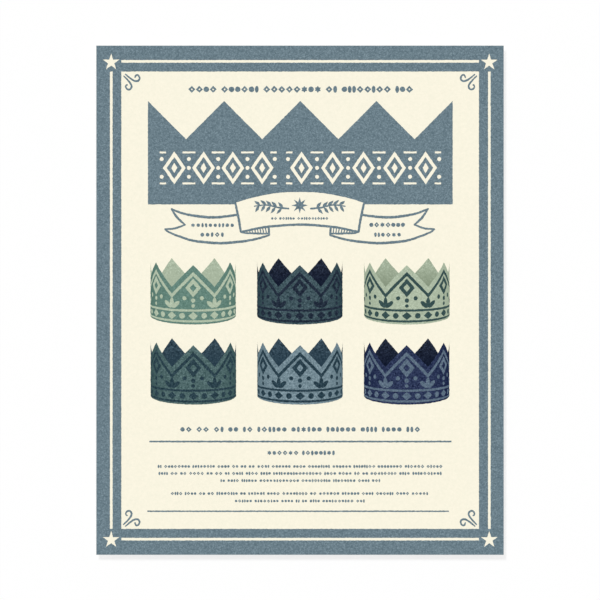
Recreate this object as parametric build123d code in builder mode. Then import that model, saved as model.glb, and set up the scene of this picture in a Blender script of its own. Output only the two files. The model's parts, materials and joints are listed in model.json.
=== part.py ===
"""A paper crown kit as it is packed flat: a printed cover card on three letter-folded crown sheets.

+X runs to the right of the card's print, +Y to the top of it, and +Z out of the printed face.
The origin is the middle of the pack's underside, and sizes are in millimetres.
"""

from build123d import *

import os
from math import pi

# Cover card: an eight by ten inch card of about 300 grams a square metre
CARD_WIDTH = 203.2
CARD_HEIGHT = 254.0
CARD_THICKNESS = 0.4

# Crown sheet before folding: seven by twenty-eight inches of about 200 grams a square metre
SHEET_COUNT = 3
SHEET_WIDTH = 177.8
SHEET_LENGTH = 711.2
SHEET_THICKNESS = 0.25

# Letter fold: the sheet's far end is tucked in between the other two thirds
FOLD_AIR = 0.12
TUCK_SHORTFALL = 3.0

# The sheets were stacked by hand, so each lies this far out of line with the card
SHEET_SLIP = 0.8

# Middle planes of the outer panels, counted up from the sheet's underside
PANEL_PITCH = SHEET_THICKNESS + FOLD_AIR
BOTTOM_LEVEL = SHEET_THICKNESS / 2
TOP_LEVEL = BOTTOM_LEVEL + 2 * PANEL_PITCH
FOLDED_THICKNESS = TOP_LEVEL + SHEET_THICKNESS / 2

# Centre-line radii: the first bend goes round the tucked panel, the second turns that panel in
FIRST_BEND_RADIUS = PANEL_PITCH
SECOND_BEND_RADIUS = PANEL_PITCH / 2
HALF_TURN = 180
BEND_LENGTHS = pi * (FIRST_BEND_RADIUS + SECOND_BEND_RADIUS)

# How far each bend stands out past the straight of its panels
FIRST_BEND_REACH = FIRST_BEND_RADIUS + SHEET_THICKNESS / 2
SECOND_BEND_REACH = SECOND_BEND_RADIUS + SHEET_THICKNESS / 2

# The flat length is shared out so that the sheet's open edge ends flush with the second bend
TOP_PANEL = (SHEET_LENGTH + TUCK_SHORTFALL - SECOND_BEND_REACH - BEND_LENGTHS) / 3
BOTTOM_PANEL = TOP_PANEL + SECOND_BEND_REACH
TUCKED_PANEL = TOP_PANEL - TUCK_SHORTFALL
FOLDED_LENGTH = FIRST_BEND_REACH + BOTTOM_PANEL

os.makedirs("parts", exist_ok=True)

# Each sheet is drawn as its centre line, seen from the side with the first bend to the top
# of the card, and then thickened and drawn out to the sheet's width
for number in range(1, SHEET_COUNT + 1):
    slip = Vector(SHEET_SLIP, 0).rotate(Axis.Z, 360 * number / SHEET_COUNT)
    underside = slip + Vector(0, 0, (number - 1) * FOLDED_THICKNESS)
    side_view = Plane(origin=underside, x_dir=(0, 1, 0), z_dir=(1, 0, 0))
    open_edge = (-FOLDED_LENGTH / 2, BOTTOM_LEVEL)
    with BuildPart() as crown_sheet:
        with BuildSketch(side_view):
            with BuildLine():
                bottom = PolarLine(open_edge, BOTTOM_PANEL, angle=0)
                first_bend = JernArc(bottom @ 1, bottom % 1, FIRST_BEND_RADIUS, HALF_TURN)
                top = PolarLine(first_bend @ 1, TOP_PANEL, direction=first_bend % 1)
                second_bend = JernArc(top @ 1, top % 1, SECOND_BEND_RADIUS, HALF_TURN)
                PolarLine(second_bend @ 1, TUCKED_PANEL, direction=second_bend % 1)
            trace(line_width=SHEET_THICKNESS)
        extrude(amount=SHEET_WIDTH / 2, both=True)
    crown_sheet.part.label = f"crown_sheet_{number}"
    export_step(crown_sheet.part, f"parts/crown_sheet_{number}.step")

with BuildPart() as cover_card:
    with BuildSketch(Plane.XY.offset(SHEET_COUNT * FOLDED_THICKNESS)):
        Rectangle(CARD_WIDTH, CARD_HEIGHT)
    extrude(amount=CARD_THICKNESS)
cover_card.part.label = "cover_card"
export_step(cover_card.part, "parts/cover_card.step")
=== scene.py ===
"""Dresses a paper crown kit that is packed flat: a printed cover card on three folded crown sheets.

The card and the sheets come from the frame and keep their shape. This script gives them their paper,
lays the card's print on as thin films of ink, and sets up the floor, the light and the camera.
The print is drawn in millimetres on the card's own plane, with +X to the right of the print, +Y to
the top of it and the origin in its middle. Meshes are in metres, as the frame is.
"""

from __future__ import annotations

import json
import logging
import math
import random
from collections.abc import Callable, Sequence
from dataclasses import dataclass, field
from enum import Enum

import bpy
from bpy.types import ID, Material, Node, NodeSocket, NodeTree, Object
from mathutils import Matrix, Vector, geometry, noise

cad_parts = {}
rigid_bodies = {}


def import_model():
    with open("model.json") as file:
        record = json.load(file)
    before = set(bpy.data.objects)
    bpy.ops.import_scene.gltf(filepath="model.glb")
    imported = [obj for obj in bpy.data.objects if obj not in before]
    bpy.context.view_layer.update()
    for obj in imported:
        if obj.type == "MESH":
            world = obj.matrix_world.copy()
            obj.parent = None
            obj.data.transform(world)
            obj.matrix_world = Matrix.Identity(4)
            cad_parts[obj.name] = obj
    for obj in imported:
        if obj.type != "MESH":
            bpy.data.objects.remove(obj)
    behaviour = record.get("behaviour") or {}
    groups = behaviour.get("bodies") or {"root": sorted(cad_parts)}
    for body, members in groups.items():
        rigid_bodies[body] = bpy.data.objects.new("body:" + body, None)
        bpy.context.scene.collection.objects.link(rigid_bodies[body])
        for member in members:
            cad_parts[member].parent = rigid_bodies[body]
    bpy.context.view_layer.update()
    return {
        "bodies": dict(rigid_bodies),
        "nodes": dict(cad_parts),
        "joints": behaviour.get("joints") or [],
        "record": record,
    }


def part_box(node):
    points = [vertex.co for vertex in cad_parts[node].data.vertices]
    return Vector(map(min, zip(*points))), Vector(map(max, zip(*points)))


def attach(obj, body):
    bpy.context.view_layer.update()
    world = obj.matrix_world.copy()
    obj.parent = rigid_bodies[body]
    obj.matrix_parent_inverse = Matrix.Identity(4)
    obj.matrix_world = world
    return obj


LOG = logging.getLogger("paper_crown_kit")

Point = tuple[float, float]
Loop = list[Point]
Triangle = tuple[int, int, int]
Widths = tuple[float, float, float]
Input = Node | NodeSocket | float | tuple[float, ...]

METRES = 0.001
BODY = "root"

# About how far apart the points of a drawn line and of an uneven edge lie
LINE_STEP = 0.5

# Noise seldom leaves these values, so they stand for none and all of what it mixes in
NOISE_RANGE = {"From Min": 0.3, "From Max": 0.7}

# The triangulator's number for triangles inside outlines alone, and how near two points count as one
FILL_INSIDE = 1
SAME_POINT = 1e-5


# Drawing on the card's plane


def rectangle(low: Point, high: Point) -> Loop:
    """Outline of an upright rectangle.

    Args:
        low: Its lower left corner.
        high: Its upper right corner.

    Returns:
        Its four corners.
    """
    return [low, (high[0], low[1]), high, (low[0], high[1])]


def lozenge(centre: Point, width: float, height: float) -> Loop:
    """Outline of an upright lozenge.

    Args:
        centre: Its middle.
        width: Its full width.
        height: Its full height.

    Returns:
        Its four corners.
    """
    x, y = centre
    return [(x + width / 2, y), (x, y + height / 2), (x - width / 2, y), (x, y - height / 2)]


def dot(centre: Point, width: float, height: float | None = None, sides: int = 20) -> Loop:
    """Outline of a round or oval dot.

    Args:
        centre: Its middle.
        width: Its full width.
        height: Its full height, or nothing where it is round.
        sides: How many points stand for the curve.

    Returns:
        The points round it.
    """
    height = width if height is None else height
    turns = (math.tau * i / sides for i in range(sides))
    return [(centre[0] + math.cos(t) * width / 2, centre[1] + math.sin(t) * height / 2) for t in turns]


def star(centre: Point, outer: float, inner: float, points: int = 5) -> Loop:
    """Outline of a star with one tip straight up.

    Args:
        centre: Its middle.
        outer: Radius to the tips.
        inner: Radius to the corners between the tips.
        points: How many tips it has.

    Returns:
        Its tips and inner corners in turn.
    """
    found = []
    for i in range(2 * points):
        turn = math.pi / 2 + math.pi * i / points
        radius = (outer, inner)[i % 2]
        found.append((centre[0] + radius * math.cos(turn), centre[1] + radius * math.sin(turn)))
    return found


def placed(line: Sequence[Point], by: Point = (0, 0), flip: Point = (1, 1), turn: float = 0) -> Loop:
    """A copy of a line that is turned, mirrored where flip is -1, and then moved.

    Args:
        line: The points.
        by: How far they move.
        flip: 1 or -1 for each axis.
        turn: Angle in degrees, anticlockwise.

    Returns:
        The new points.
    """
    c, s = math.cos(math.radians(turn)), math.sin(math.radians(turn))
    return [((x * c - y * s) * flip[0] + by[0], (x * s + y * c) * flip[1] + by[1]) for x, y in line]


def refined(line: Loop, step: float, closed: bool = True) -> Loop:
    """A line with more points on its long sides, so that it can be bent or frayed.

    Args:
        line: The points.
        step: The longest side that is left.
        closed: Whether the last point joins the first.

    Returns:
        The line's own points and the new ones between them.
    """
    found = []
    for start, end in zip(line, line[1:] + line[:1] if closed else line[1:]):
        parts = max(1, math.ceil(math.dist(start, end) / step))
        across = ((end[0] - start[0]) / parts, (end[1] - start[1]) / parts)
        found += [(start[0] + across[0] * i, start[1] + across[1] * i) for i in range(parts)]
    return found if closed else [*found, line[-1]]


def smooth(knots: Sequence[Point], step: float = LINE_STEP) -> Loop:
    """An open, smooth line through a few knots.

    At each knot it runs parallel to the straight line between the knots on either side.

    Args:
        knots: The points that it passes through, in order.
        step: About how far apart its own points lie.

    Returns:
        The line's points.
    """
    ends = [knots[0], *knots, knots[-1]]
    found = []
    for before, start, end, after in zip(ends, ends[1:], ends[2:], ends[3:]):
        parts = max(2, math.ceil(math.dist(start, end) / step))
        for t in (i / parts for i in range(parts)):
            shares = (
                (2 * t**2 - t**3 - t) / 2,
                (2 - 5 * t**2 + 3 * t**3) / 2,
                (t + 4 * t**2 - 3 * t**3) / 2,
                (t**3 - t**2) / 2,
            )
            four = (before, start, end, after)
            x, y = (sum(share * knot[axis] for share, knot in zip(shares, four)) for axis in (0, 1))
            found.append((x, y))
    return [*found, knots[-1]]


def stroke(line: Loop, widths: Widths) -> Loop:
    """Outline of a pen stroke with round ends.

    Args:
        line: Its middle line.
        widths: Its widths at its start, halfway and at its end.

    Returns:
        The points round it.
    """
    start_width, middle_width, end_width = widths
    line = refined(line, LINE_STEP, closed=False)
    lengths = [0.0]
    for start, end in zip(line, line[1:]):
        lengths.append(lengths[-1] + math.dist(start, end))
    left, right = [], []
    for i, (x, y) in enumerate(line):
        share = lengths[i] / lengths[-1]
        straight = start_width + (end_width - start_width) * share
        swell = (middle_width - (start_width + end_width) / 2) * math.sin(math.pi * share)
        before, after = line[max(i - 1, 0)], line[min(i + 1, len(line) - 1)]
        across = math.atan2(after[1] - before[1], after[0] - before[0]) + math.pi / 2
        reach = (straight + swell) / 2
        left.append((x + math.cos(across) * reach, y + math.sin(across) * reach))
        right.append((x - math.cos(across) * reach, y - math.sin(across) * reach))
    return left + round_end(left[-1], right[-1]) + right[::-1] + round_end(right[0], left[0])


def round_end(start: Point, end: Point, sides: int = 5) -> Loop:
    """The half circle that closes a stroke, clockwise from one of its sides to the other.

    Args:
        start: Where the one side ends.
        end: Where the other side starts.
        sides: How many sides stand for the half circle.

    Returns:
        The points between the two.
    """
    middle = ((start[0] + end[0]) / 2, (start[1] + end[1]) / 2)
    first = math.atan2(start[1] - end[1], start[0] - end[0])
    turns = (first - math.pi * i / sides for i in range(1, sides))
    radius = math.dist(start, end) / 2
    return [(middle[0] + radius * math.cos(t), middle[1] + radius * math.sin(t)) for t in turns]


def anticlockwise(loop: Loop) -> Loop:
    """The closed outline, turned round if it runs clockwise."""
    doubled = sum(x * after[1] - after[0] * y for (x, y), after in zip(loop, loop[1:] + loop[:1]))
    return loop if doubled > 0 else loop[::-1]


@dataclass(frozen=True)
class PenStroke:
    """A smooth stroke of the pen.

    Attributes:
        knots: The points that its middle line passes through.
        widths: Its widths at its start, halfway and at its end.
        step: About how far apart the middle line's points lie.
    """

    knots: tuple[Point, ...]
    widths: Widths
    step: float = LINE_STEP

    def line(self) -> Loop:
        """Its middle line."""
        return smooth(self.knots, self.step)

    def outline(self) -> Loop:
        """The points round it."""
        return stroke(self.line(), self.widths)

    def height(self, x: float) -> float:
        """How high a stroke that runs from right to left is at x.

        Args:
            x: Where it is looked for, between its ends.

        Returns:
            The height on the straight between the knots on either side.
        """
        for right, left in zip(self.knots, self.knots[1:]):
            if left[0] <= x <= right[0]:
                share = (x - left[0]) / (right[0] - left[0])
                return left[1] + (right[1] - left[1]) * share
        raise ValueError(f"the stroke has no point at {x}")


# Colours, shader nodes and pieces


def linear(colour: str) -> tuple[float, float, float, float]:
    """The linear colour that shaders use, from an sRGB hex one.

    Args:
        colour: Six hex digits, such as "6b7f89".

    Returns:
        Linear red, green and blue, and an alpha of 1.
    """
    shares = [int(colour[i : i + 2], 16) / 255 for i in (0, 2, 4)]
    return (*(s / 12.92 if s <= 0.04045 else ((s + 0.055) / 1.055) ** 2.4 for s in shares), 1.0)


def lighter(colour: str, levels: float) -> str:
    """The sRGB hex colour with levels, of 255, added to each channel, or taken off if negative."""
    channels = (int(colour[i : i + 2], 16) + levels for i in (0, 2, 4))
    return "".join(f"{min(max(round(c), 0), 255):02x}" for c in channels)


WHITE = linear("ffffff")


def add_node(tree: NodeTree, kind: str, inputs: dict[str | int, Input], **settings: object) -> Node:
    """Adds one node to a tree, with its settings and its links.

    Args:
        tree: The node tree of a material or of the world.
        kind: The node's type, less the ShaderNode that each of them starts with.
        inputs: What each socket takes: a value, another node's output, or a node for its own output.
        settings: The node's properties.

    Returns:
        The new node.
    """
    node = tree.nodes.new(f"ShaderNode{kind}")
    for name, value in settings.items():
        setattr(node, name, value)
    for key, value in inputs.items():
        named = (socket for socket in node.inputs if socket.enabled and socket.name == key)
        socket = node.inputs[key] if isinstance(key, int) else next(named)
        if isinstance(value, Node):
            value = next(output for output in value.outputs if output.enabled)
        if isinstance(value, NodeSocket):
            tree.links.new(value, socket)
        else:
            socket.default_value = value
    return node


def new_material(name: str) -> tuple[Material, NodeTree]:
    """Makes a material that has no nodes in it yet.

    Args:
        name: The material's name.

    Returns:
        The material and its node tree.
    """
    material = bpy.data.materials.new(name)
    material.use_nodes = True
    material.node_tree.nodes.clear()
    return material, material.node_tree


def add_object(name: str, data: ID) -> Object:
    """Adds an object to the scene.

    Args:
        name: Its name.
        data: Its mesh, light or camera.

    Returns:
        The new object.
    """
    found = bpy.data.objects.new(name, data)
    bpy.context.scene.collection.objects.link(found)
    return found


def dress(piece: Object, material: Material) -> None:
    """Gives a piece one material for the whole of it, and reports the piece.

    Args:
        piece: The piece.
        material: Its material.
    """
    piece.data.materials.clear()
    piece.data.materials.append(material)
    LOG.info("%s: %d faces in %s", piece.name, len(piece.data.polygons), material.name)


# Finishes


def cloudy(tree: NodeTree, place: NodeSocket, colour: str, levels: float, grain_mm: float) -> Node:
    """Adds the nodes of a colour that is a little darker and lighter from place to place.

    Args:
        tree: The material's node tree.
        place: Where on the object the surface is.
        colour: Its sRGB hex colour.
        levels: How many of 255 levels it strays each way.
        grain_mm: Size of its patches.

    Returns:
        The node that gives the colour.
    """
    grain = {"Vector": place, "Scale": 1 / (grain_mm * METRES), "Detail": 3.0, "Roughness": 0.75}
    clouds = add_node(tree, "TexNoise", grain)
    spread = add_node(tree, "MapRange", {"Value": clouds, **NOISE_RANGE})
    dark, light = linear(lighter(colour, -levels)), linear(lighter(colour, levels))
    return add_node(tree, "Mix", {"Factor": spread, "A": dark, "B": light}, data_type="RGBA")


@dataclass(frozen=True)
class MattSurface:
    """A dry, porous surface that scatters nearly all light, with a relief too fine to feel.

    Attributes:
        relief_mm: Height of the relief.
        relief_grain_mm: Size of its grain, drawn about ten times as coarse as fibres are, to show.
        roughness: The shader's roughness.
        specular: The shader's specular level.
    """

    relief_mm: float
    relief_grain_mm: float
    roughness: float
    specular: float

    def finish(self, tree: NodeTree, place: NodeSocket, tint: Node) -> None:
        """Adds the nodes from the surface's colour to the material's output.

        Args:
            tree: The material's node tree.
            place: Where on the object the surface is.
            tint: The node that gives its colour.
        """
        scale = 1 / (self.relief_grain_mm * METRES)
        grain = add_node(tree, "TexNoise", {"Vector": place, "Scale": scale, "Detail": 2.0})
        relief = add_node(tree, "Bump", {"Height": grain, "Distance": self.relief_mm * METRES})
        sheen = {"Roughness": self.roughness, "Specular IOR Level": self.specular}
        shader = add_node(tree, "BsdfPrincipled", {"Base Color": tint, "Normal": relief, **sheen})
        add_node(tree, "OutputMaterial", {"Surface": shader})


BARE_PAPER = MattSurface(relief_mm=0.01, relief_grain_mm=0.45, roughness=0.9, specular=0.2)
DRY_INK = MattSurface(relief_mm=0.008, relief_grain_mm=0.6, roughness=0.85, specular=0.04)


@dataclass(frozen=True)
class UncoatedBoard:
    """Uncoated wood-fibre board, dyed cream and calendered once.

    To the eye it is fully matt and nearly even, with a faint cloudiness where the fibres lie thicker.
    """

    name: str
    colour: str
    cloud_levels: float = 3.5
    cloud_mm: float = 1.4

    def material(self) -> Material:
        """Makes the board's material.

        Returns:
            The material.
        """
        material, tree = new_material(self.name)
        place = add_node(tree, "TexCoord", {}).outputs["Object"]
        tint = cloudy(tree, place, self.colour, self.cloud_levels, self.cloud_mm)
        BARE_PAPER.finish(tree, place, tint)
        return material


@dataclass(frozen=True)
class RoundShade:
    """How a pictured crown's outer side darkens from its middle to its sides, as a round thing does.

    Attributes:
        centre: Where its middle is across the card, in millimetres.
        radius: Half its width.
        levels: How many of 255 levels darker its sides are.
        steepness: How close to the sides it darkens.
    """

    centre: float
    radius: float
    levels: float = 14
    steepness: float = 4.0

    def share(self, tree: NodeTree, place: NodeSocket) -> Node:
        """Adds the nodes of the shade.

        Args:
            tree: The material's node tree.
            place: Where on the card the surface is.

        Returns:
            The node that gives 0 in the middle and 1 at the sides.
        """
        across = add_node(tree, "SeparateXYZ", {"Vector": place}).outputs["X"]
        aside = add_node(tree, "Math", {0: across, 1: self.centre * METRES}, operation="SUBTRACT")
        part = add_node(tree, "Math", {0: aside, 1: self.radius * METRES}, operation="DIVIDE")
        reach = add_node(tree, "Math", {0: part}, operation="ABSOLUTE")
        return add_node(tree, "Math", {0: reach, 1: self.steepness}, operation="POWER")


@dataclass(frozen=True)
class DepthShade:
    """How a pictured crown's inner side darkens from its points to its foot.

    Attributes:
        low: Height on the card where it is darkest, in millimetres.
        high: Height where it has its own colour.
        levels: How many of 255 levels darker its foot is.
    """

    low: float
    high: float
    levels: float

    def share(self, tree: NodeTree, place: NodeSocket) -> Node:
        """Adds the nodes of the shade.

        Args:
            tree: The material's node tree.
            place: Where on the card the surface is.

        Returns:
            The node that gives 0 at the points and 1 at the foot.
        """
        up = add_node(tree, "SeparateXYZ", {"Vector": place}).outputs["Y"]
        limits = {"From Min": self.high * METRES, "From Max": self.low * METRES}
        return add_node(tree, "MapRange", {"Value": up, **limits})


@dataclass(frozen=True)
class SpotInk:
    """Offset ink of one plain colour, soaked into uncoated board.

    To the eye it is matt, a little darker and lighter from place to place, and worn through by small
    pale flecks where the paper's fibres took less of it. Both are drawn a few times as coarse as on
    real board, so that they show.

    Attributes:
        name: The material's name.
        colour: Its sRGB hex colour.
        mottle_levels: How many of 255 levels it strays from place to place.
        fleck_levels: How many levels paler than that a fleck is.
        mottle_mm: Size of the darker and lighter places.
        fleck_mm: Size of the flecks.
        fleck_range: Where in its noise a fleck starts, and where it is at its palest.
        shade: The shade that the picture has across the ink, if any.
    """

    name: str
    colour: str
    mottle_levels: float = 16
    fleck_levels: float = 14
    mottle_mm: float = 1.2
    fleck_mm: float = 0.6
    fleck_range: Point = (0.56, 0.74)
    shade: RoundShade | DepthShade | None = None

    def material(self) -> Material:
        """Makes the ink's material.

        Returns:
            The material.
        """
        material, tree = new_material(self.name)
        place = add_node(tree, "TexCoord", {}).outputs["Object"]
        tint = cloudy(tree, place, self.colour, self.mottle_levels, self.mottle_mm)
        scale = 1 / (self.fleck_mm * METRES)
        grain = add_node(tree, "TexNoise", {"Vector": place, "Scale": scale, "Detail": 1.0})
        start, full = self.fleck_range
        fleck = add_node(tree, "MapRange", {"Value": grain, "From Min": start, "From Max": full})
        pale = linear(lighter(self.colour, self.mottle_levels + self.fleck_levels))
        tint = add_node(tree, "Mix", {"Factor": fleck, "A": tint, "B": pale}, data_type="RGBA")
        if self.shade:
            share = self.shade.share(tree, place)
            deep = linear(lighter(self.colour, -self.shade.levels))
            tint = add_node(tree, "Mix", {"Factor": share, "A": tint, "B": deep}, data_type="RGBA")
        DRY_INK.finish(tree, place, tint)
        return material


class Layer(Enum):
    """Which pass through the press a film of ink comes from, counted up from the bare board."""

    FIRST = 1
    SECOND = 2
    THIRD = 3


@dataclass
class Artwork:
    """What one ink covers.

    Attributes:
        printed: Outlines that the ink fills.
        bare: Outlines that it leaves bare, inside or across the others.
        trimmed: Outlines that it fills out to an edge of the card, where the knife cut it straight.
    """

    printed: list[Loop] = field(default_factory=list)
    bare: list[Loop] = field(default_factory=list)
    trimmed: list[Loop] = field(default_factory=list)

    def add(self, other: Artwork) -> None:
        """Takes in what another artwork covers and leaves bare.

        Args:
            other: The other artwork.
        """
        self.printed += other.printed
        self.bare += other.bare
        self.trimmed += other.trimmed

    def triangles(self, frayed: Callable[[Loop], Loop]) -> tuple[list[Point], list[Triangle]]:
        """Fills the outlines with triangles.

        Args:
            frayed: The function that gives an outline the press's uneven edge.

        Returns:
            The points, and the triangles as places in the list of points, anticlockwise.
        """
        inked = [*self.trimmed, *(frayed(loop) for loop in self.printed)]
        loops = [anticlockwise(loop) for loop in (*inked, *(frayed(loop) for loop in self.bare))]
        corners, faces = [], []
        for loop in loops:
            faces.append(list(range(len(corners), len(corners) + len(loop))))
            corners += [Vector(point) for point in loop]
        found = geometry.delaunay_2d_cdt(corners, [], faces, FILL_INSIDE, SAME_POINT, True)
        points, triangles, sources = found[0], found[2], found[5]
        kept = [t for t, s in zip(triangles, sources) if s and all(i < len(inked) for i in s)]
        return [tuple(point) for point in points], [tuple(t) for t in kept]


@dataclass(frozen=True)
class Press:
    """Lays ink on the card as thin closed films.

    Attributes:
        card_top: Height of the card's face, in metres.
        film: Thickness of one film.
        edge_step: Distance between the points of an uneven edge.
        fray: How far an edge strays.
        fray_grain: Size of its unevenness along the edge.
        fray_seed: Seed of the unevenness, which makes it the same in each run.
    """

    card_top: float
    film: float = 0.03
    edge_step: float = LINE_STEP
    fray: float = 0.16
    fray_grain: float = 0.8
    fray_seed: int = 28

    def __post_init__(self) -> None:
        """Seeds the noise, which otherwise takes its seed from the clock."""
        noise.seed_set(self.fray_seed)

    def frayed(self, loop: Loop) -> Loop:
        """Gives an outline the slightly uneven edge of ink on uncoated board.

        Args:
            loop: The outline as drawn.

        Returns:
            The outline as printed.
        """
        found = []
        for x, y in refined(loop, self.edge_step):
            stray = noise.noise_vector(Vector((x, y, 0)) / self.fray_grain) * self.fray
            found.append((x + stray.x, y + stray.y))
        return found

    def lay(self, name: str, artwork: Artwork, ink: SpotInk, layer: Layer = Layer.FIRST) -> None:
        """Args:
            name: The piece's name.
            artwork: What the ink covers.
            ink: The ink.
            layer: Which pass through the press it comes from.
        """
        points, triangles = artwork.triangles(self.frayed)
        top = self.card_top + self.film * layer.value * METRES
        levels = (self.card_top, top)
        vertices = [(x * METRES, y * METRES, z) for z in levels for x, y in points]
        raised = len(points)
        faces = [tuple(i + raised for i in t) for t in triangles]
        faces += [t[::-1] for t in triangles]
        sides = {(a, b) for t in triangles for a, b in zip(t, t[1:] + t[:1])}
        faces += [(a, b, b + raised, a + raised) for a, b in sides if (b, a) not in sides]
        mesh = bpy.data.meshes.new(name)
        mesh.from_pydata(vertices, [], faces)
        mesh.validate()
        film = add_object(name, mesh)
        dress(film, ink.material())
        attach(film, BODY)


SLATE = SpotInk("Slate offset ink on uncoated board", "687c86")


# The card's print


@dataclass(frozen=True)
class CreamField:
    """The bare field that the border frames: its lower left and upper right corners."""

    low: Point = (-89.13, -114.07)
    high: Point = (89.26, 114.08)


@dataclass
class BorderPrint:
    """The slate border that runs off the card's edges, with a bare rule and corner stars in it."""

    card: Point
    cream: CreamField
    rule_centre: Point = (0.15, -0.02)
    rule_reach: Point = (94.3, 119.17)
    rule_width: float = 1.31
    star_centre: Point = (0.1, -0.42)
    star_reach: Point = (94.3, 119.1)
    star_outer: float = 4.4
    star_inner: float = 1.65

    def rules(self) -> list[Loop]:
        """Draws the four bare rules, each as long as the side of the field that it runs along.

        Returns:
            Their outlines.
        """
        half, (left, bottom), (right, top) = self.rule_width / 2, self.cream.low, self.cream.high
        found = []
        for side in (-1, 1):
            x = self.rule_centre[0] + side * self.rule_reach[0]
            y = self.rule_centre[1] + side * self.rule_reach[1]
            found.append(rectangle((x - half, bottom), (x + half, top)))
            found.append(rectangle((left, y - half), (right, y + half)))
        return found

    def stars(self) -> list[Loop]:
        """Draws the four corner stars.

        Returns:
            Their outlines.
        """
        (x, y), (across, up) = self.star_centre, self.star_reach
        places = [(x + side * across, y + end * up) for side in (-1, 1) for end in (-1, 1)]
        return [star(place, self.star_outer, self.star_inner) for place in places]

    def build(self, press: Press) -> None:
        """Prints the border.

        Args:
            press: The press.
        """
        half = (self.card[0] / 2, self.card[1] / 2)
        edge = rectangle((-half[0], -half[1]), half)
        bare = [rectangle(self.cream.low, self.cream.high), *self.rules(), *self.stars()]
        press.lay("border_print", Artwork(bare=bare, trimmed=[edge]), SLATE)


@dataclass
class CornerCurls:
    """The pair of curled strokes in each corner of the cream field, drawn for its lower left one."""

    cream: CreamField
    flat_curl: tuple[Point, ...] = (
        (2.1, 1.4), (4.0, 3.0), (6.0, 4.37), (7.35, 4.85), (8.4, 4.6), (9.05, 3.75),
        (8.95, 2.75), (8.45, 1.95), (7.75, 1.65), (7.1, 2.1), (6.8, 2.9),
    )
    steep_curl: tuple[Point, ...] = (
        (1.2, 2.25), (3.0, 4.05), (4.4, 5.75), (5.1, 7.1), (5.0, 8.1), (4.3, 8.85),
        (3.35, 8.95), (2.55, 8.4), (2.25, 7.6), (2.45, 6.9), (2.85, 6.7),
    )
    widths: Widths = (0.65, 0.98, 0.75)

    def build(self, press: Press) -> None:
        """Prints the eight strokes.

        Args:
            press: The press.
        """
        strokes = []
        for x, right in ((self.cream.low[0], 1), (self.cream.high[0], -1)):
            for y, up in ((self.cream.low[1], 1), (self.cream.high[1], -1)):
                for curl in (self.flat_curl, self.steep_curl):
                    line = smooth(placed(curl, (x, y), (right, up)))
                    strokes.append(stroke(line, self.widths))
        press.lay("corner_curls_print", Artwork(strokes), SLATE)


@dataclass
class JewelFrieze:
    """The row of cream jewels that the title panel leaves bare, in two groups.

    A jewel is a hollow lozenge with a small one in it. Three beads stand between two jewels, and two at
    the ends of a group. Short bars join the jewels' upper and lower ends.

    Attributes:
        low: Height of its foot.
        high: Height of its top.
        groups: Where each group starts and ends across the card, and how many jewels it has.
        jewel_width: Width of a jewel.
        wall: Width of its bare wall, measured across the card.
        seed: Width and height of the small lozenge in it.
        bead: Width of a bead.
        bead_rise: How far the outer beads stand off the middle, by the frieze's height.
        bar_length: Length of a bar.
        bar_width: Its width.
    """

    low: float = 57.8
    high: float = 74.2
    groups: tuple[tuple[float, float, int], ...] = ((-70.0, -11.6, 4), (-7.0, 70.4, 5))
    jewel_width: float = 11.4
    wall: float = 1.9
    seed: Point = (3.0, 5.2)
    bead: float = 2.0
    bead_rise: float = 0.27
    bar_length: float = 6.4
    bar_width: float = 0.95

    def jewels(self) -> list[Point]:
        """Places the jewels.

        Returns:
            Their middles.
        """
        found = []
        for start, end, count in self.groups:
            pitch = (end - start) / count
            found += [(start + pitch * (i + 0.5), (self.low + self.high) / 2) for i in range(count)]
        return found

    def bare(self) -> list[Loop]:
        """Draws what the panel's ink leaves bare.

        Returns:
            The outlines of the jewels, the beads and the bars.
        """
        middle, height = (self.low + self.high) / 2, self.high - self.low
        rise, half_bar = height * self.bead_rise, self.bar_width / 2
        found = [lozenge(jewel, self.jewel_width, height) for jewel in self.jewels()]
        for start, end, count in self.groups:
            for i in range(count + 1):
                x = start + (end - start) / count * i
                shift = {0: self.bead / 2, count: -self.bead / 2}.get(i, 0)
                for up in (-rise, rise) if shift else (-rise, 0, rise):
                    found.append(dot((x + shift, middle + up), self.bead))
                first, last = max(x - self.bar_length / 2, start), min(x + self.bar_length / 2, end)
                for y in (self.low + half_bar, self.high - half_bar):
                    found.append(rectangle((first, y - half_bar), (last, y + half_bar)))
        return found

    def hollows(self) -> Artwork:
        """Draws the ink in the jewels.

        Returns:
            What it covers in each: all within the wall but the small lozenge.
        """
        width, height = self.jewel_width, self.high - self.low
        inner = (width - 2 * self.wall, height * (1 - 2 * self.wall / width))
        jewels = self.jewels()
        seeds = [lozenge(jewel, *self.seed) for jewel in jewels]
        return Artwork([lozenge(jewel, *inner) for jewel in jewels], seeds)


@dataclass
class TitlePanel:
    """The slate panel with a zig-zag top, and the frieze in it."""

    centre: float = 0.15
    pitch: float = 38.0
    points: int = 4
    bottom: float = 47.8
    valley: float = 80.3
    tip: float = 99.4
    frieze: JewelFrieze = field(default_factory=JewelFrieze)

    def outline(self) -> Loop:
        """Draws the panel's outline.

        Returns:
            Its lower corners, and then its tips and valleys from the right.
        """
        reach = self.pitch * self.points / 2
        corners = [(self.centre - reach, self.bottom), (self.centre + reach, self.bottom)]
        for i in range(2 * self.points + 1):
            height = self.valley if i % 2 else self.tip
            corners.append((self.centre + reach - i * self.pitch / 2, height))
        return corners

    def build(self, press: Press, covered: Loop) -> None:
        """Prints the panel.

        Args:
            press: The press.
            covered: The part of it that the ribbon lies over, which stays bare.
        """
        bare = [covered, *self.frieze.bare()]
        press.lay("title_panel_print", Artwork([self.outline()], bare), SLATE)
        press.lay("title_jewels_print", self.frieze.hollows(), SLATE)


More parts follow.
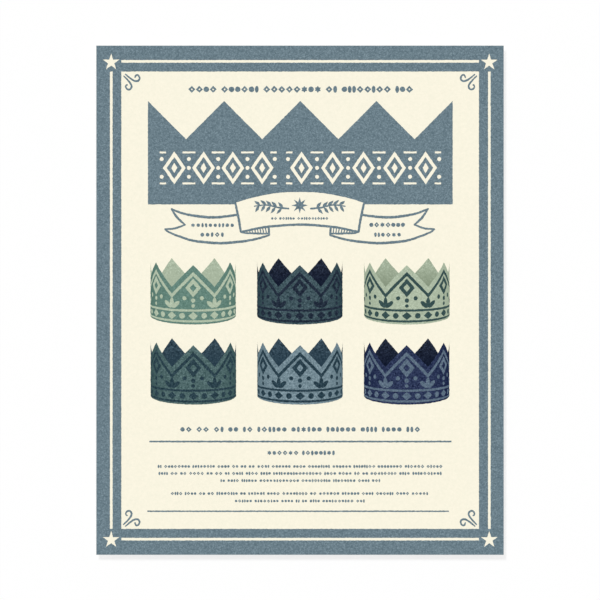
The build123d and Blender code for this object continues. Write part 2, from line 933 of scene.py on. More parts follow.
@dataclass
class Ribbon:
    """The drawn ribbon: an arched middle, two tails behind it, and what is printed on the middle.

    The strokes are drawn for the right half and mirrored. A star between two leafy sprigs fills the
    middle.

    Attributes:
        centre: Where its middle is across the card.
        top_arc: Upper edge of the middle, from its right end, which the title panel's edge shows.
        panel_foot: Height below which the panel is sure to have ended.
        side: Right end of the middle.
        bottom_arc: Lower edge of the middle.
        tail_top: Upper edge of the tail.
        upper_notch: Upper side of the notch in the tail's end.
        lower_notch: Its lower side.
        tail_bottom: Lower edge of the tail.
        fold_foot: Lower edge of the fold between the middle and the tail.
        fold_edge: Inner end of that fold.
        hatch_first: Where the first short stroke in the fold's shadow starts.
        hatch_pitch: Distance from one to the next.
        hatch_count: How many there are.
        hatch_lean: How far each leans to the middle.
        hatch_widths: Their widths.
        star_height: Height of the star's middle.
        star_size: Radii of its tips and of its inner corners.
        star_points: How many tips it has.
        stem: Stem of the sprig, from the star outwards.
        leaf_edges: Upper and lower edge of a leaf.
        leaf_step: Distance between the points of those.
        leaf_pairs: How many pairs of leaves the sprig has.
        leaf_pitch: How many points of the stem there are from pair to pair.
        leaf_turns: For the upper and the lower leaf of a pair, how far it is shifted along the stem, its
            lean in the first pair, and how much that changes from pair to pair.
    """

    centre: float = -0.16
    top_arc: tuple[Point, ...] = ((31.95, 48.65), (24.0, 51.0), (16.0, 52.72), (8.0, 53.8), (0.0, 53.95))
    panel_foot: float = 47.0
    side: PenStroke = PenStroke(((32.1, 48.4), (30.5, 41.0), (29.35, 34.15)), (1.0, 1.18, 1.1))
    bottom_arc: PenStroke = PenStroke(
        (
            (29.3, 34.25), (26.6, 34.65), (22.6, 35.55), (18.0, 36.4), (12.5, 36.98), (6.5, 37.5),
            (0.0, 37.75),
        ),
        (0.95, 1.15, 1.2),
    )
    tail_top: PenStroke = PenStroke(
        ((63.95, 45.55), (57.6, 43.12), (48.5, 41.6), (43.7, 41.36), (38.9, 41.56), (31.3, 42.56)),
        (0.85, 1.3, 1.1),
    )
    upper_notch: PenStroke = PenStroke(((63.95, 45.55), (61.05, 41.2), (57.2, 37.67)), (0.8, 1.15, 0.85))
    lower_notch: PenStroke = PenStroke(((57.2, 37.67), (62.2, 35.85), (67.15, 35.5)), (0.75, 1.02, 0.75))
    tail_bottom: PenStroke = PenStroke(
        (
            (67.15, 35.5), (65.85, 34.3), (63.1, 33.0), (60.2, 31.9), (53.2, 29.7), (43.7, 28.65),
            (37.9, 28.5), (32.4, 28.95), (27.2, 29.55), (21.6, 30.6), (15.3, 32.4),
        ),
        (0.85, 1.3, 0.95),
    )
    fold_foot: PenStroke = PenStroke(
        ((29.3, 34.0), (27.0, 33.5), (23.6, 33.4), (19.2, 33.2), (15.4, 33.3)), (0.8, 0.95, 0.8)
    )
    fold_edge: PenStroke = PenStroke(((15.6, 36.7), (15.3, 34.5), (15.2, 32.6)), (1.0, 1.05, 0.95))
    hatch_first: float = 17.1
    hatch_pitch: float = 1.34
    hatch_count: int = 8
    hatch_lean: float = 0.45
    hatch_widths: Widths = (0.55, 0.55, 0.55)
    star_height: float = 47.3
    star_size: Point = (4.1, 1.7)
    star_points: int = 8
    stem: PenStroke = PenStroke(
        ((5.6, 45.7), (10.5, 46.2), (16.5, 47.5), (22.6, 46.9)), (0.9, 0.8, 0.6), step=1.0
    )
    leaf_edges: tuple[tuple[Point, ...], ...] = (
        ((0, 0), (1.8, 0.75), (4.0, 0)),
        ((4.0, 0), (2.0, -0.7), (0, 0)),
    )
    leaf_step: float = 0.4
    leaf_pairs: int = 5
    leaf_pitch: int = 3
    leaf_turns: tuple[tuple[float, float, float], ...] = ((0.0, 50, -4), (0.6, -46, -3))

    def covered(self) -> Loop:
        """Finds the part of the title panel that the ribbon's middle lies over.

        Returns:
            Its outline.
        """
        arc = smooth([*self.top_arc, *placed(self.top_arc[-2::-1], flip=(-1, 1))])
        reach = self.top_arc[0][0]
        return placed([*arc, (-reach, self.panel_foot), (reach, self.panel_foot)], (self.centre, 0))

    def lines(self) -> list[Loop]:
        """Draws the right half's edges, notch and fold.

        Returns:
            The outlines of their strokes.
        """
        edges = (self.side, self.bottom_arc, self.tail_top, self.tail_bottom)
        fold_and_notch = (self.fold_foot, self.fold_edge, self.upper_notch, self.lower_notch)
        return [pen_stroke.outline() for pen_stroke in (*edges, *fold_and_notch)]

    def hatching(self) -> list[Loop]:
        """Draws the short strokes in the shadow where the right tail folds behind the middle.

        Returns:
            Their outlines.
        """
        found = []
        for i in range(self.hatch_count):
            x = self.hatch_first + i * self.hatch_pitch
            high, low = self.bottom_arc.height(x), self.fold_foot.height(x)
            found.append(stroke([(x, high), (x - self.hatch_lean, low)], self.hatch_widths))
        return found

    def sprig(self) -> list[Loop]:
        """Draws the leafy sprig at the right of the middle's star.

        Returns:
            The outlines of its stem and leaves.
        """
        upper, lower = (smooth(edge, self.leaf_step) for edge in self.leaf_edges)
        leaf = [*upper[:-1], *lower[:-1]]
        stem = self.stem.line()
        found = [self.stem.outline()]
        for i in range(self.leaf_pairs):
            x, y = stem[self.leaf_pitch * (i + 1)]
            for shift, first_turn, change in self.leaf_turns:
                found.append(placed(leaf, (x + shift, y), turn=first_turn + change * i))
        return found

    def build(self, press: Press) -> None:
        """Prints the ribbon.

        Args:
            press: The press.
        """
        half = [*self.lines(), *self.hatching(), *self.sprig()]
        printed = [placed(loop, (self.centre, 0), (side, 1)) for side in (1, -1) for loop in half]
        printed.append(star((self.centre, self.star_height), *self.star_size, self.star_points))
        press.lay("ribbon_print", Artwork(printed), SLATE, Layer.SECOND)


class Mark(Enum):
    """The small plain marks in the card's rows of print.

    Each value is the mark's width by its height.
    """

    JEWEL = 1.0
    BEAD = 0.8
    SEED = 0.55
    STAR = 0.95


# How often each mark comes up, in the order above
MARK_SHARES = (3, 4, 3, 1)


@dataclass(frozen=True)
class PrintRow:
    """One row of small plain marks in groups.

    Attributes:
        low: Where it starts across the card.
        high: Where it ends.
        baseline: Height of its foot.
        height: Height of its marks.
        groups: How many groups there are.
        gap: Space between two marks, by their height.
        group_gap: Space between two groups, by their height.
        hollow: Width of a jewel's bare middle, by its own width.
        star_points: How many tips a star has.
        star_waist: Width of a star between its tips, by its own width.
        dot_sides: How many sides stand for a bead's or a seed's curve.
    """

    low: float
    high: float
    baseline: float
    height: float
    groups: int
    gap: float = 0.09
    group_gap: float = 0.65
    hollow: float = 0.3
    star_points: int = 6
    star_waist: float = 2 / 3
    dot_sides: int = 12

    def artwork(self, chance: random.Random) -> Artwork:
        """Draws the row.

        Args:
            chance: The source of its variety.

        Returns:
            What its marks cover.
        """
        mean_width = sum(kind.value for kind in Mark) / len(Mark) + self.gap
        room = (self.high - self.low) / self.height - self.groups * self.group_gap
        count = max(round(room / mean_width), 2 * self.groups)
        kinds = chance.choices(list(Mark), weights=MARK_SHARES, k=count)
        breaks = set(chance.sample(range(2, count - 1, 2), self.groups - 1))
        places, reach = [], 0.0
        for i, kind in enumerate(kinds):
            if i:
                reach += self.group_gap if i in breaks else self.gap
            places.append(reach + kind.value / 2)
            reach += kind.value
        found = Artwork()
        for kind, place in zip(kinds, places):
            found.add(self.mark(kind, self.low + place / reach * (self.high - self.low)))
        return found

    def mark(self, kind: Mark, x: float) -> Artwork:
        """Draws one mark.

        Args:
            kind: Which mark it is.
            x: Where its middle is across the card.

        Returns:
            What it covers.
        """
        middle = (x, self.baseline + self.height / 2)
        width = kind.value * self.height
        if kind is Mark.JEWEL:
            inner = lozenge(middle, width * self.hollow, self.height * self.hollow)
            return Artwork([lozenge(middle, width, self.height)], [inner])
        if kind is Mark.STAR:
            return Artwork([star(middle, width / 2, width / 2 * self.star_waist, self.star_points)])
        height = width if kind is Mark.BEAD else self.height
        return Artwork([dot(middle, width, height, self.dot_sides)])


@dataclass
class SmallPrint:
    """All rows of small marks on the card, and the two thin rules between them.

    Attributes:
        upper_row: The row above the title panel.
        ribbon_rows: The rows on the ribbon.
        lower_rows: The rows below the pictured crowns.
        rules: For each rule, where it starts and ends across the card, its height there and its width.
        seed: Seed of the draws that give the rows their variety.
    """

    upper_row: PrintRow = PrintRow(-55.7, 56.3, 103.45, 3.5, 6)
    ribbon_rows: tuple[PrintRow, ...] = (
        PrintRow(-14.5, 14.2, 40.05, 1.5, 3),
        PrintRow(-54.7, -32.7, 36.3, 2.2, 1),
        PrintRow(-49.9, -37.9, 31.5, 2.4, 1),
        PrintRow(34.5, 52.4, 36.3, 2.6, 1),
        PrintRow(36.9, 50.5, 31.5, 2.3, 1),
    )
    lower_rows: tuple[PrintRow, ...] = (
        PrintRow(-59.9, 60.1, -65.85, 2.8, 11),
        PrintRow(-16.5, 17.4, -77.35, 2.4, 2),
        PrintRow(-71.0, 71.1, -83.75, 1.65, 16),
        PrintRow(-70.6, 70.7, -87.25, 1.67, 18),
        PrintRow(-39.8, 40.1, -90.8, 1.6, 8),
        PrintRow(-64.5, 63.9, -97.25, 1.66, 16),
        PrintRow(-32.6, 32.35, -100.95, 1.58, 8),
    )
    rules: tuple[tuple[float, float, float, float], ...] = (
        (-75.2, 75.6, -70.5, 0.84),
        (-76.1, 74.3, -105.27, 0.7),
    )
    seed: int = 28

    def build(self, press: Press) -> None:
        """Prints the rows and the rules.

        Args:
            press: The press.
        """
        chance = random.Random(self.seed)
        upper, lower = Artwork(), Artwork()
        for row in (self.upper_row, *self.ribbon_rows):
            upper.add(row.artwork(chance))
        for row in self.lower_rows:
            lower.add(row.artwork(chance))
        for start, end, y, width in self.rules:
            lower.printed.append(rectangle((start, y - width / 2), (end, y + width / 2)))
        press.lay("upper_rows_print", upper, SLATE)
        press.lay("lower_rows_print", lower, SLATE)


@dataclass(frozen=True)
class CrownColours:
    """The inks of one crown.

    Attributes:
        body: Colour of its outer side.
        pattern: Colour of the pattern on that.
        inside: Colour of its inner side.
        grain: How many of 255 levels its inks stray from place to place.
        depth: How many levels darker the inner side is drawn at its foot.
    """

    body: str
    pattern: str
    inside: str
    grain: float = 20.0
    depth: float = 0.0


CROWN_COLOURS = (
    CrownColours("618277", "aebda6", "a8b69f", 16),
    CrownColours("364c54", "1a2636", "0a1428", 34),
    CrownColours("acbaa3", "344c4c", "a3b19a", 16, depth=34),
    CrownColours("466061", "243b45", "243a47", 34),
    CrownColours("6e848e", "213844", "233947", 34),
    CrownColours("1f2b4c", "586a7c", "081227", 34),
)


@dataclass(frozen=True)
class Motif:
    """One plain shape in a crown's pattern.

    Attributes:
        along: Where its middle is, round from the crown's nearest point.
        up: Height of its middle above the base.
        width: Its full width.
        height: Its full height.
        oval: Whether it is an oval and not a lozenge.
        hollow: Width of its bare middle, by its own width.
        turn: How far it leans, in degrees anticlockwise.
    """

    along: float
    up: float
    width: float
    height: float
    oval: bool = False
    hollow: float = 0.0
    turn: float = 0.0

    def outlines(self, point: float, side: int) -> Artwork:
        """What it covers on one side of a point of the crown.

        Args:
            point: Where the point is, round the crown.
            side: 1 for the point's right, -1 for its left, where the motif is mirrored.

        Returns:
            Its outline, and that of its bare middle if it is hollow.
        """
        shape = dot if self.oval else lozenge
        found = []
        for size in (1.0, self.hollow) if self.hollow else (1.0,):
            loop = placed(shape((0, 0), self.width * size, self.height * size), turn=self.turn)
            found.append(placed(loop, (point + side * self.along, self.up), (side, 1)))
        return Artwork(found[:1], found[1:])

    def mask(self, tree: NodeTree, spot: Node) -> Node:
        """Adds the nodes that give 1 where it covers the strip and 0 elsewhere.

        Args:
            tree: The material's node tree.
            spot: The node that gives where on the strip the surface is.

        Returns:
            The node that gives the share.
        """
        size = (self.width / 2, self.height / 2, 1)
        lean = (0, 0, math.radians(self.turn))
        frame = {"Location": (self.along, self.up, 0), "Rotation": lean, "Scale": size}
        within = add_node(tree, "Mapping", {"Vector": spot, **frame}, vector_type="TEXTURE")
        if self.oval:
            reach = add_node(tree, "VectorMath", {0: within}, operation="LENGTH")
        else:
            sides = add_node(tree, "VectorMath", {0: within}, operation="ABSOLUTE")
            reach = add_node(tree, "VectorMath", {0: sides, 1: (1, 1, 0)}, operation="DOT_PRODUCT")
        middle, half = (1 + self.hollow) / 2, (1 - self.hollow) / 2
        return add_node(tree, "Math", {0: reach, 1: middle, 2: half}, operation="COMPARE")


@dataclass(frozen=True)
class CrownPattern:
    """A crown's pattern on the unrolled strip: distance round the crown, by height above its base.

    The same pattern is on the six pictured crowns and on the sheets, in the inks of each crown. An inner
    zig-zag follows the points, a jewel hangs in each of them, three petals stand between them, and a
    jewelled band runs round the base.

    Attributes:
        pitch: Distance from point to point.
        tip: Height of the points.
        valley: Height between them.
        inset: How far the inner zig-zag lies below the edge.
        line: Width of the zig-zag's line, measured upright.
        rules: Heights of the band's two rules.
        rule: Width of the two rules.
    """

    pitch: float = 22.3
    tip: float = 29.62
    valley: float = 18.4
    inset: float = 3.4
    line: float = 2.1
    rules: Point = (1.5, 6.9)
    rule: float = 1.1

    def motifs(self) -> list[Motif]:
        """Lists the shapes of the pattern.

        Returns:
            Those between a point of the crown and the valley at its right.
        """
        half, band = self.pitch / 2, sum(self.rules) / 2
        return [
            Motif(0, 18.2, 8.0, 9.4, hollow=0.42),
            Motif(0, 11.9, 2.2, 2.2, oval=True),
            Motif(0, 9.2, 1.8, 1.8, oval=True),
            Motif(4.4, 13.0, 2.1, 2.1, oval=True),
            Motif(half, 10.6, 2.3, 5.0, oval=True),
            Motif(half - 2.2, 9.7, 2.2, 5.0, oval=True, turn=50),
            Motif(0, band, 4.9, 4.0),
            Motif(half / 2, band, 2.9, 2.9, oval=True),
            Motif(half, band, 4.9, 4.0),
        ]

    def zigzag(self, reach: float, drop: float) -> Loop:
        """The upper edge of a crown's front, lowered by drop.

        Args:
            reach: How far round it goes to each side of the middle point.
            drop: How far it is lowered.

        Returns:
            The line from left to right.
        """
        half = self.pitch / 2
        most = math.ceil(reach / half)
        corners = [i * half for i in range(-most, most + 1) if abs(i * half) < reach]
        line = []
        for x in (-reach, *corners, reach):
            off_point = abs(x - self.pitch * round(x / self.pitch)) / half
            line.append((x, self.tip - (self.tip - self.valley) * off_point - drop))
        return line

    def artwork(self, reach: float) -> Artwork:
        """Draws the pattern for the front of a crown.

        Args:
            reach: How far round it goes to each side of the middle point.

        Returns:
            What the pattern covers.
        """
        lower_side = self.zigzag(reach, self.inset + self.line)
        found = Artwork([[*self.zigzag(reach, self.inset), *lower_side[::-1]]])
        for y in self.rules:
            found.printed.append(rectangle((-reach, y - self.rule / 2), (reach, y + self.rule / 2)))
        for point in (-self.pitch, 0, self.pitch):
            for motif in self.motifs():
                for side in (-1, 1) if motif.along else (1,):
                    if abs(point + side * motif.along) < reach:
                        found.add(motif.outlines(point, side))
        return found


@dataclass
class CrownPicture:
    """One of the card's six pictures of a finished crown, seen from the front and a little from above.

    Attributes:
        number: Its number on the card.
        colours: Its inks.
        centre: Middle of its base across the card, and height of its lowest point.
        pattern: Its pattern, which also sets its size.
        points: How many points it has.
        base_dip: How far the front of its base lies below its sides.
        upper_dip: The same for all that is well above the base.
        dip_fade: Height over which the one goes over into the other.
        far_tip: Height of its far points.
        far_valley: Height between them.
        far_foot: Height where the far side's ink ends behind the near side.
        far_dip: How far the back of the ring lies above its sides.
        bend_step: Longest side that an outline keeps where it is bent round.
        grain_shares: How much of the crown's grain its inner side, its outer side and its pattern show.
    """

    number: int
    colours: CrownColours
    centre: Point
    pattern: CrownPattern = CrownPattern()
    points: int = 6
    base_dip: float = 4.5
    upper_dip: float = 2.7
    dip_fade: float = 3.0
    far_tip: float = 29.92
    far_valley: float = 17.6
    far_foot: float = 12.0
    far_dip: float = 1.7
    bend_step: float = 0.8
    grain_shares: tuple[float, float, float] = (1.0, 0.8, 0.5)

    @property
    def radius(self) -> float:
        """Radius of the ring, which is half the picture's width."""
        return self.pattern.pitch * self.points / math.tau

    def bent(self, loop: Loop, far: bool = False) -> Loop:
        """Bends a loop of the unrolled strip round to the ring.

        Args:
            loop: The loop: distance round the crown from the middle of its front, height above the base.
            far: Whether it is on the far side.

        Returns:
            The loop as the picture shows it.
        """
        found = []
        for along, height in refined(loop, self.bend_step):
            turn = along / self.radius
            fade = math.exp(-height / self.dip_fade)
            near_dip = self.upper_dip + (self.base_dip - self.upper_dip) * fade
            rise = (self.far_dip if far else near_dip) * (1 - math.cos(turn))
            found.append((self.centre[0] + self.radius * math.sin(turn), self.centre[1] + height + rise))
        return found

    def back(self) -> Loop:
        """Draws the far side, whose points stand where the near side has its valleys.

        Returns:
            Its outline on the unrolled strip.
        """
        quarter, half_pitch = math.pi * self.radius / 2, math.pi * self.radius / self.points
        edge = []
        for i in range(self.points + 1):
            edge.append((quarter + i * half_pitch, self.far_valley if i % 2 else self.far_tip))
        return [(quarter, self.far_foot), *edge, (3 * quarter, self.far_foot)]

    def inks(self) -> list[SpotInk]:
        """Mixes the crown's inks.

        Returns:
            The inks of its inner side, its outer side and its pattern.
        """
        foot, colours = self.centre[1], self.colours
        depth = DepthShade(foot + self.far_valley, foot + self.far_tip, colours.depth)
        parts = (
            ("Inner", colours.inside, depth),
            ("Outer", colours.body, RoundShade(self.centre[0], self.radius)),
            ("Pattern", colours.pattern, None),
        )
        found = []
        for (part, colour, shade), share in zip(parts, self.grain_shares):
            name = f"{part} ink of crown {self.number}"
            found.append(SpotInk(name, colour, colours.grain * share, shade=shade))
        return found

    def build(self, press: Press) -> None:
        """Prints the crown.

        Args:
            press: The press.
        """
        reach = math.pi * self.radius / 2
        front = [(-reach, 0), *self.pattern.zigzag(reach, 0), (reach, 0)]
        flat = self.pattern.artwork(reach)
        printed, bare = ([self.bent(loop) for loop in loops] for loops in (flat.printed, flat.bare))
        inside, body, trim = self.inks()
        name = f"crown_picture_{self.number}"
        press.lay(f"{name}_inside", Artwork([self.bent(self.back(), far=True)]), inside)
        press.lay(f"{name}_body", Artwork([self.bent(front)]), body, Layer.SECOND)
        press.lay(f"{name}_pattern", Artwork(printed, bare), trim, Layer.THIRD)


@dataclass
class CoverCard:
    """The cream card and everything that is printed on it.

    Attributes:
        board: What the card is made of.
        cream: The field that the border frames.
        crowns: Where the pictured crowns stand, by number, given by the lowest point of each.
    """

    board: UncoatedBoard = UncoatedBoard("Cream uncoated board", "faf5e1")
    cream: CreamField = CreamField()
    crowns: tuple[Point, ...] = (
        (-53.3, -12.08),
        (-0.1, -12.08),
        (53.3, -12.08),
        (-53.2, -52.05),
        (0.0, -52.05),
        (53.2, -52.05),
    )

    def build(self, card: Object) -> None:
        """Dresses the card and prints it.

        Args:
            card: The card from the frame.
        """
        dress(card, self.board.material())
        low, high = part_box("cover_card")
        size = (high - low) / METRES
        press = Press(card_top=high.z)
        ribbon = Ribbon()
        BorderPrint((size.x, size.y), self.cream).build(press)
        CornerCurls(self.cream).build(press)
        TitlePanel().build(press, ribbon.covered())
        ribbon.build(press)
        SmallPrint().build(press)
        for number, (place, colours) in enumerate(zip(self.crowns, CROWN_COLOURS), 1):
            CrownPicture(number, colours, place).build(press)


@dataclass(frozen=True)
class PrintedSheet:
    """Uncoated paper printed with two crowns head to head, folded in thirds.

    To the eye it is as matt as the card. Its outer side has both crowns in their inks, with a bare line
    between their points to cut along. Its inner side has their plain inside colours, and its cut edges
    are bare. A third of the sheet is two points long, so the pattern runs the same way up and down.

    Attributes:
        name: The material's name.
        left: Inks of the crown whose base is the sheet's left edge.
        right: Inks of the crown whose base is its right edge.
        low: The folded sheet's lowest corner, in metres.
        high: Its highest corner.
        pattern: The pattern on both crowns.
        paper: Colour of the bare paper.
        length: The flat sheet's length.
        points: How many points share it.
        bend: Length of the folded sheet's ends that counts as its bends.
        bottom_panel: Height of the top of the bottom panel, by the folded sheet's own.
        top_panel: Height above which the sheet's outer side faces up, by the same.
        open_end: Length of the bottom panel's end that counts as its cut end.
        edge_lean: How much of its facing a surface has across the sheet where it is a cut edge.
        cut_line: Width of the bare line, upright on the pattern.
        mottle: How much darker and lighter the inks are from place to place.
        mottle_mm: Size of those places.
    """

    name: str
    left: CrownColours
    right: CrownColours
    low: Vector
    high: Vector
    pattern: CrownPattern = CrownPattern()
    paper: str = "f8f3df"
    length: float = 711.2
    points: int = 6
    bend: float = 1.1
    bottom_panel: float = 0.31
    top_panel: float = 0.68
    open_end: float = 0.02
    edge_lean: float = 0.5
    cut_line: float = 0.5
    mottle: float = 0.08
    mottle_mm: float = 1.2

    def crowns(self, tree: NodeTree, local: Node) -> tuple[Node, Node, Node]:
        """Adds the nodes that tell where on the two crowns the surface is.

        Args:
            tree: The material's node tree.
            local: The node that gives the place on the folded sheet, in millimetres.

        Returns:
            Nodes for the place on the crown's strip in the pattern's own units, for the share of the
            right crown, and for how far the place is from the points' zig-zag.
        """
        pattern, half_pitch = self.pattern, self.pattern.pitch / 2
        around = self.length / self.points / pattern.pitch
        half_width = (self.high.x - self.low.x) / 2 / METRES
        up = half_width / ((pattern.tip + pattern.valley) / 2)
        sides = add_node(tree, "SeparateXYZ", {"Vector": local})
        third = {0: sides.outputs["Y"], 1: half_pitch * around}
        along = add_node(tree, "Math", third, operation="PINGPONG")
        strip = add_node(tree, "CombineXYZ", {"X": along, "Y": sides.outputs["X"]})
        base = {"Vector": strip, "Location": (0, 0, 0), "Scale": (around, up, 1)}
        left = add_node(tree, "Mapping", base, vector_type="TEXTURE")
        base["Location"] = (half_pitch * around, 2 * half_width, 0)
        base["Scale"] = (-around, -up, 1)
        right = add_node(tree, "Mapping", base, vector_type="TEXTURE")
        slope = (pattern.tip - pattern.valley) / half_pitch
        level = add_node(tree, "VectorMath", {0: left, 1: (slope, 1, 0)}, operation="DOT_PRODUCT")
        past = add_node(tree, "Math", {0: level, 1: pattern.tip}, operation="SUBTRACT")
        share = add_node(tree, "Math", {0: past, 1: 0.0}, operation="GREATER_THAN")
        spot = add_node(tree, "Mix", {"Factor": share, "A": left, "B": right}, data_type="VECTOR")
        return spot, share, add_node(tree, "Math", {0: past}, operation="ABSOLUTE")

    def ornament(self, tree: NodeTree, spot: Node, drop: Node) -> Node:
        """Adds the nodes that give 1 where the crowns' pattern is.

        Args:
            tree: The material's node tree.
            spot: The node for the place on the crown's strip.
            drop: The node for how far the place is from the points' zig-zag.

        Returns:
            The node that gives the share.
        """
        pattern = self.pattern
        height = add_node(tree, "SeparateXYZ", {"Vector": spot}).outputs["Y"]
        bands = [(drop, pattern.inset + pattern.line / 2, pattern.line / 2)]
        bands += [(height, level, pattern.rule / 2) for level in pattern.rules]
        masks = [motif.mask(tree, spot) for motif in pattern.motifs()]
        for value, middle, half in bands:
            masks.append(add_node(tree, "Math", {0: value, 1: middle, 2: half}, operation="COMPARE"))
        found = masks[0]
        for mask in masks[1:]:
            found = add_node(tree, "Math", {0: found, 1: mask}, operation="MAXIMUM")
        return found

    def faces(self, tree: NodeTree, local: Node, normal: NodeSocket) -> tuple[Node, Node]:
        """Adds the nodes that tell the sheet's inner side and its cut edges from its outer side.

        Args:
            tree: The material's node tree.
            local: The node that gives the place on the folded sheet, in millimetres.
            normal: Which way the surface faces.

        Returns:
            Nodes that give 1 on the inner side, and 1 on the cut edges.
        """
        size = (self.high - self.low) / METRES
        top, bottom = size.z * self.top_panel, size.z * self.bottom_panel
        place = add_node(tree, "SeparateXYZ", {"Vector": local})
        up = add_node(tree, "Math", {0: place.outputs["Z"], 1: top}, operation="SUBTRACT")
        up = add_node(tree, "Math", {0: up}, operation="SIGN")
        straight = size.y - 2 * self.bend
        middle = {0: place.outputs["Y"], 1: 1 / straight, 2: -size.y / 2 / straight}
        along = add_node(tree, "Math", middle, operation="MULTIPLY_ADD")
        along = add_node(tree, "Math", {0: along}, operation="ROUND")
        outward = add_node(tree, "CombineXYZ", {"Y": along, "Z": up})
        faced = add_node(tree, "VectorMath", {0: normal, 1: outward}, operation="DOT_PRODUCT")
        inner = add_node(tree, "Math", {0: faced, 1: 0.0}, operation="LESS_THAN")
        across = add_node(tree, "VectorMath", {0: normal, 1: (1, 0, 0)}, operation="DOT_PRODUCT")
        across = add_node(tree, "Math", {0: across}, operation="ABSOLUTE")
        side = add_node(tree, "Math", {0: across, 1: self.edge_lean}, operation="GREATER_THAN")
        first = add_node(tree, "Math", {0: place.outputs["Y"], 1: self.open_end}, operation="LESS_THAN")
        lowest = add_node(tree, "Math", {0: place.outputs["Z"], 1: bottom}, operation="LESS_THAN")
        end = add_node(tree, "Math", {0: first, 1: lowest}, operation="MULTIPLY")
        return inner, add_node(tree, "Math", {0: side, 1: end}, operation="MAXIMUM")

    def material(self) -> Material:
        """Makes the sheet's material.

        Returns:
            The material.
        """
        material, tree = new_material(self.name)
        coordinates = add_node(tree, "TexCoord", {})
        place = coordinates.outputs["Object"]
        corner = {"Vector": place, "Location": self.low, "Scale": (METRES, METRES, METRES)}
        local = add_node(tree, "Mapping", corner, vector_type="TEXTURE")
        spot, right, drop = self.crowns(tree, local)
        inner, edge = self.faces(tree, local, coordinates.outputs["Normal"])
        line = add_node(tree, "Math", {0: drop, 1: self.cut_line / 2}, operation="LESS_THAN")
        tint, trim, inside = (
            add_node(tree, "Mix", {"Factor": right, "A": linear(a), "B": linear(b)}, data_type="RGBA")
            for a, b in (
                (self.left.body, self.right.body),
                (self.left.pattern, self.right.pattern),
                (self.left.inside, self.right.inside),
            )
        )
        bare = linear(self.paper)
        coats = ((self.ornament(tree, spot, drop), trim), (inner, inside), (line, bare), (edge, bare))
        for share, coat in coats:
            tint = add_node(tree, "Mix", {"Factor": share, "A": tint, "B": coat}, data_type="RGBA")
        grain = {"Vector": place, "Scale": 1 / (self.mottle_mm * METRES), "Detail": 3.0}
        clouds = add_node(tree, "TexNoise", grain)
        limits = {"To Min": 1 - self.mottle, "To Max": 1 + self.mottle}
        strength = add_node(tree, "MapRange", {"Value": clouds, **NOISE_RANGE, **limits})
        tint = add_node(tree, "HueSaturation", {"Color": tint, "Value": strength})
        BARE_PAPER.finish(tree, place, tint)
        return material


@dataclass
class CrownSheets:
    """The three folded sheets under the card, each with the crowns of one column of the pictures."""

    def build(self, sheets: list[Object]) -> None:
        """Dresses the sheets.

        Args:
            sheets: The sheets from the frame, from the lowest up.
        """
        for i, sheet in enumerate(sheets):
            low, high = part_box(sheet.name)
            left, right = CROWN_COLOURS[i], CROWN_COLOURS[i + len(sheets)]
            paper = PrintedSheet(f"Printed uncoated paper {i + 1}", left, right, low, high)
            dress(sheet, paper.material())


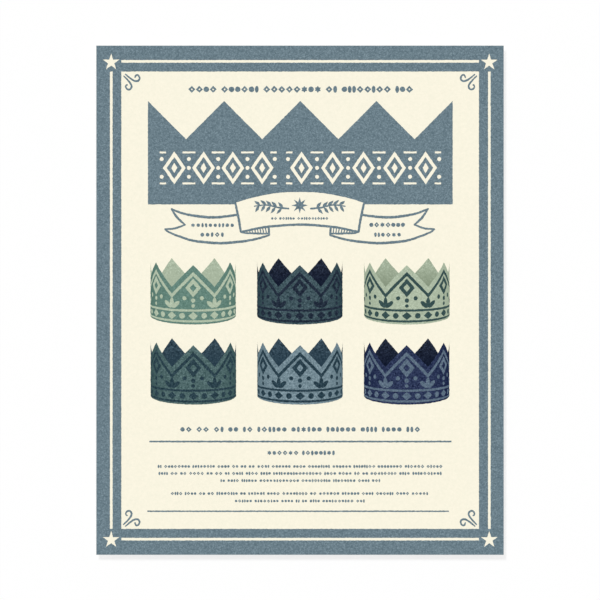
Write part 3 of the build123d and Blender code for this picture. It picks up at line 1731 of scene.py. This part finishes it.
@dataclass
class Studio:
    """A white floor, soft even light with a sun from the upper left, and a camera straight above.

    Attributes:
        focal_length: The camera's focal length.
        sensor: Width of its sensor.
        view_width: How wide the view is at the card's face.
        camera_place: Where the camera stands over the card.
        clip: How near and how far the camera sees, in metres.
        floor_size: The floor's width, in metres.
        floor_colour: Its sRGB hex colour.
        floor_glow: How much of what the camera sees of it is white whatever the light.
        sky: The sky's strength.
        sun_from: Where the sun stands, seen from the card.
        sun_width: How wide it is, in degrees, which softens the shadow's edge.
    """

    focal_length: float = 300.0
    sensor: float = 36.0
    view_width: float = 299.3
    camera_place: Point = (0.0, 0.1)
    clip: Point = (0.1, 50.0)
    floor_size: float = 20.0
    floor_colour: str = "fefefe"
    floor_glow: float = 0.785
    sky: float = 0.35
    sun_from: tuple[float, float, float] = (-0.4, 0.8, 1.0)
    sun_width: float = 15.0

    def build(self, card_top: float) -> None:
        """Sets up the floor, the light and the camera.

        Args:
            card_top: Height of the card's face, in metres.
        """
        self.add_floor()
        self.add_world()
        self.add_sun()
        self.add_camera(card_top)
        bpy.context.scene.view_settings.view_transform = "Standard"

    def add_floor(self) -> None:
        half = self.floor_size / 2
        corners = [(x, y, 0) for x, y in rectangle((-half, -half), (half, half))]
        mesh = bpy.data.meshes.new("floor")
        mesh.from_pydata(corners, [], [(0, 1, 2, 3)])
        floor = add_object("floor", mesh)
        material, tree = new_material("White sweep")
        matt = add_node(tree, "BsdfDiffuse", {"Color": linear(self.floor_colour)})
        glow = add_node(tree, "Emission", {"Color": WHITE, "Strength": 1.0})
        seen = add_node(tree, "LightPath", {}).outputs["Is Camera Ray"]
        share = add_node(tree, "Math", {0: seen, 1: self.floor_glow}, operation="MULTIPLY")
        surface = add_node(tree, "MixShader", {0: share, 1: matt, 2: glow})
        add_node(tree, "OutputMaterial", {"Surface": surface})
        dress(floor, material)

    def add_world(self) -> None:
        """Lights everything evenly from the sky, which the camera and reflections see as white."""
        world = bpy.data.worlds.new("Soft sky")
        bpy.context.scene.world = world
        world.use_nodes = True
        tree = world.node_tree
        tree.nodes.clear()
        rays = add_node(tree, "LightPath", {}).outputs
        either = {0: rays["Is Camera Ray"], 1: rays["Is Glossy Ray"]}
        seen = add_node(tree, "Math", either, operation="MAXIMUM")
        strength = add_node(tree, "MapRange", {"Value": seen, "To Min": self.sky, "To Max": 1.0})
        sky = add_node(tree, "Background", {"Color": WHITE, "Strength": strength})
        add_node(tree, "OutputWorld", {"Surface": sky})

    def add_sun(self) -> None:
        """Adds the sun, as strong as makes up the rest of the light on a level face."""
        towards = Vector(self.sun_from).normalized()
        light = bpy.data.lights.new("sun", "SUN")
        light.energy = (1 - self.sky) * math.pi / towards.z
        light.angle = math.radians(self.sun_width)
        sun = add_object("sun", light)
        sun.rotation_mode = "QUATERNION"
        sun.rotation_quaternion = towards.to_track_quat("Z", "Y")
        sun.location = towards

    def add_camera(self, card_top: float) -> None:
        """Adds the camera, so far above the card that the view is as wide as the photograph's.

        Args:
            card_top: Height of the card's face, in metres.
        """
        lens = bpy.data.cameras.new("camera")
        lens.lens = self.focal_length
        lens.sensor_width = self.sensor
        height = card_top + self.view_width * METRES * self.focal_length / self.sensor
        lens.clip_start, lens.clip_end = self.clip
        camera = add_object("camera", lens)
        camera.location = (self.camera_place[0] * METRES, self.camera_place[1] * METRES, height)
        bpy.context.scene.camera = camera


def main() -> None:
    logging.basicConfig(level=logging.INFO, format="%(name)s: %(message)s")
    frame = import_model()
    nodes = frame["nodes"]
    CoverCard().build(nodes["cover_card"])
    CrownSheets().build([nodes[name] for name in sorted(nodes) if name.startswith("crown_sheet_")])
    Studio().build(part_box("cover_card")[1].z)


if __name__ == "__main__":
    main()
